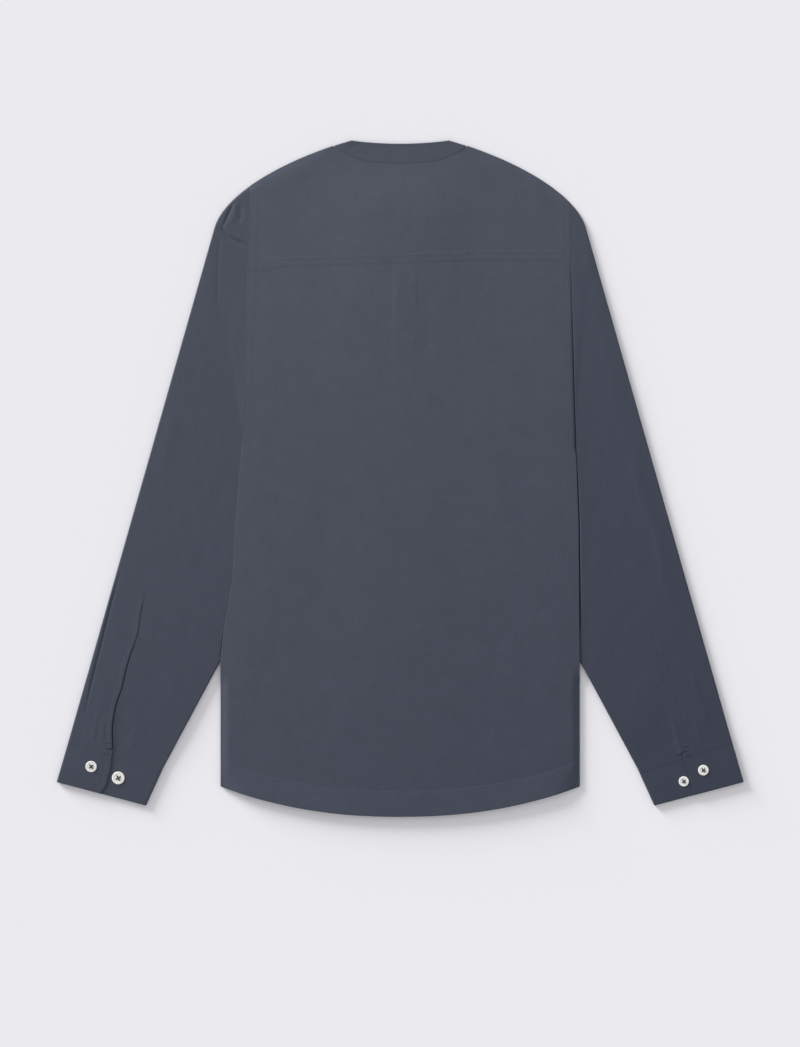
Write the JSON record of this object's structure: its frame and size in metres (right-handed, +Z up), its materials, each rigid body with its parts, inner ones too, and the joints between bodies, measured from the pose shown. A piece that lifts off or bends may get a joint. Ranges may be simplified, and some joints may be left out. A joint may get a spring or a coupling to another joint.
{
  "type": "mandarin collar shirt",
  "caption": "Long-sleeved shirt with a band collar, a back yoke with a box pleat, buttoned cuffs and a curved hem, laid flat on its front with its back up.",
  "frame": {"origin": "middle of the underside's bounding box, on the surface the shirt lies on", "axes": "+X to the wearer's right, +Y from the hem to the collar, +Z up from the surface, out of the back of the shirt"},
  "size_m": [0.755, 0.743, 0.0077],
  "materials": {
    "cloth": "matt slate blue plain weave with fine slubs, sewn with matching thread",
    "button": "off-white polished shirt button with a raised rim and four holes, sewn with dark thread"
  },
  "bodies": {
    "root": {"back_panel": "cloth", "back_yoke": "cloth", "front_left": "cloth", "front_right": "cloth", "front_placket": "cloth", "collar_band": "cloth", "sleeve_left": "cloth", "sleeve_placket_left": "cloth", "cuff_left": "cloth", "sleeve_right": "cloth", "sleeve_placket_right": "cloth", "cuff_right": "cloth", "cuff_button_1": "button", "cuff_button_2": "button", "cuff_button_3": "button", "cuff_button_4": "button", "front_button_1": "button", "front_button_2": "button", "front_button_3": "button", "front_button_4": "button", "front_button_5": "button", "front_button_6": "button", "front_button_7": "button"}
  },
  "joints": []
}
